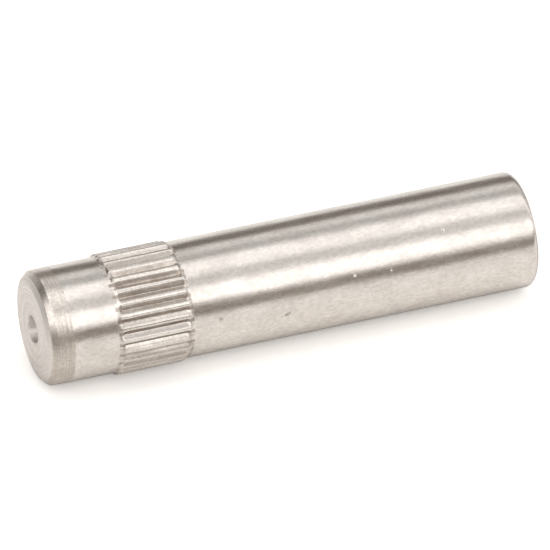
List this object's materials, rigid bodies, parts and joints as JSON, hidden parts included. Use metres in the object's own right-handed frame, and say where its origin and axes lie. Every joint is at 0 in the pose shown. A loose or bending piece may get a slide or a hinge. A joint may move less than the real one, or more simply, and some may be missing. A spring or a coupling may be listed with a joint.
{
  "type": "grooved pin",
  "caption": "Plain round steel pin with a short band of straight rolled grooves near one chamfered end.",
  "frame": {"origin": "centre of the plain end's flat face, which the pin stands on", "axes": "+Z along the pin's axis, towards the grooved end; +X through the root of one groove; +Y completes the right-handed frame"},
  "size_m": [0.0082, 0.0082, 0.0349],
  "materials": {
    "ground_steel": "ground round the shank, rolled grooves, dull turned lead-in"
  },
  "bodies": {
    "root": {"pin": "ground_steel"}
  },
  "joints": []
}
